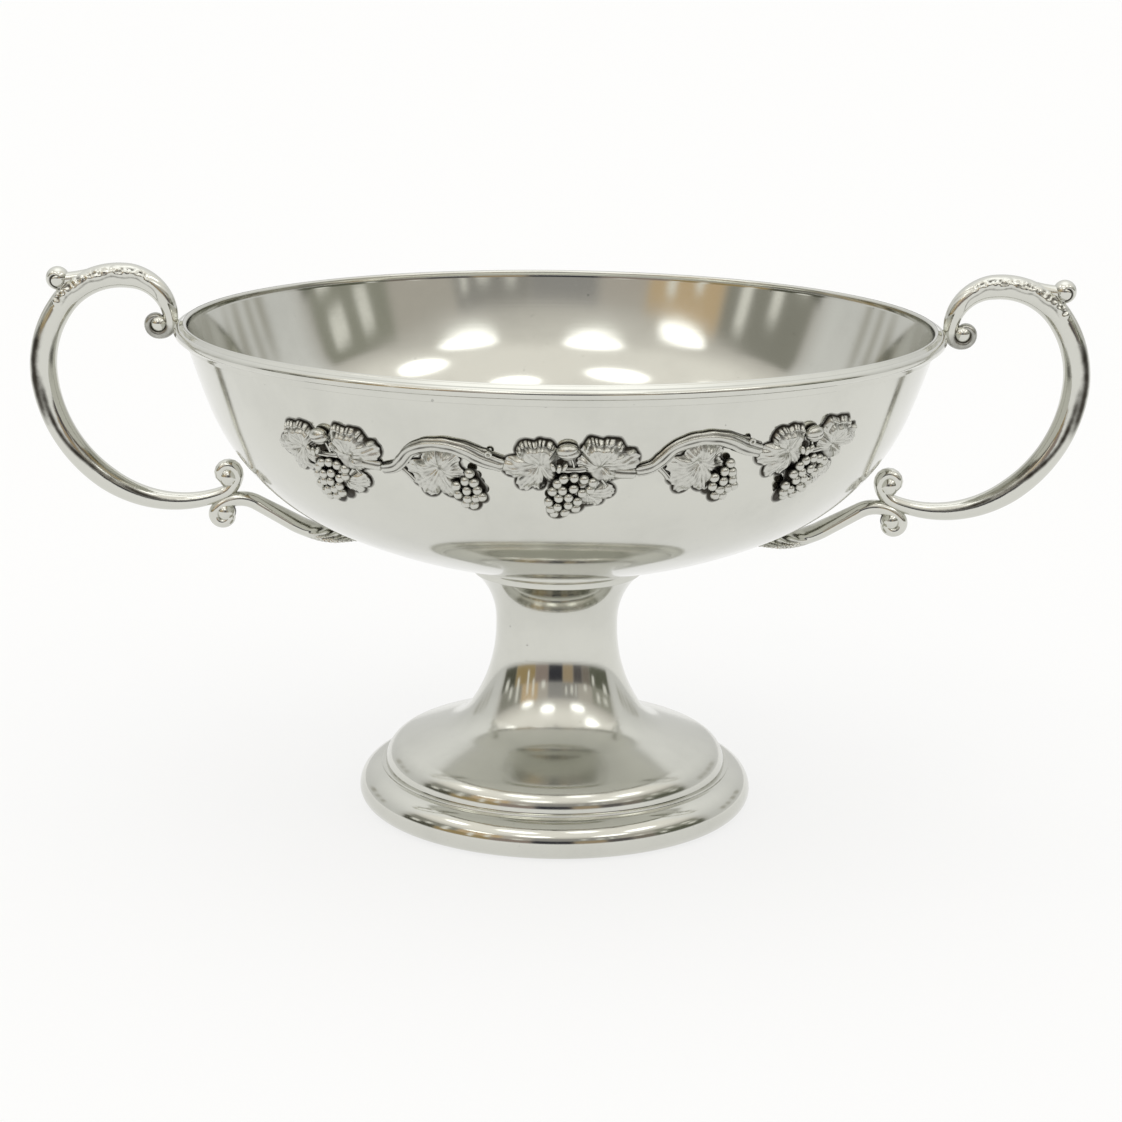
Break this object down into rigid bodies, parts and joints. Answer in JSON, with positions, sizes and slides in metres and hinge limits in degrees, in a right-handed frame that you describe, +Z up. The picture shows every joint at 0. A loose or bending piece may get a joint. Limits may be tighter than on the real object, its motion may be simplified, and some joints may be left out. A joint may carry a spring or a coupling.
{
  "type": "footed compote bowl",
  "caption": "Round silver-plated compote bowl with scroll side handles and an applied grapevine, on a flared pedestal with a stepped round foot, for serving fruit or sweets.",
  "frame": {"origin": "centre of the foot, on the surface it stands on", "axes": "+X through the right handle, -Y to the front face with the vine, +Z up"},
  "size_m": [0.3338, 0.24, 0.1728],
  "materials": {
    "spun_silver": "polished silver plate",
    "cast_silver": "polished silver plate, darker in the hollows",
    "vine_silver": "oxidised silver plate, bright on the high points"
  },
  "bodies": {
    "root": {"bowl_shell": "spun_silver", "rim_moulding": "spun_silver", "stem_collar": "spun_silver", "pedestal": "spun_silver", "foot_moulding": "spun_silver", "handle_left": "cast_silver", "handle_right": "cast_silver", "handle_bracket_left": "cast_silver", "handle_bracket_right": "cast_silver", "vine_cluster_front_left": "vine_silver", "vine_link_front_left": "vine_silver", "vine_cluster_front_centre": "vine_silver", "vine_link_front_right": "vine_silver", "vine_cluster_front_right": "vine_silver", "vine_cluster_back_left": "vine_silver", "vine_link_back_left": "vine_silver", "vine_cluster_back_centre": "vine_silver", "vine_link_back_right": "vine_silver", "vine_cluster_back_right": "vine_silver"}
  },
  "joints": []
}
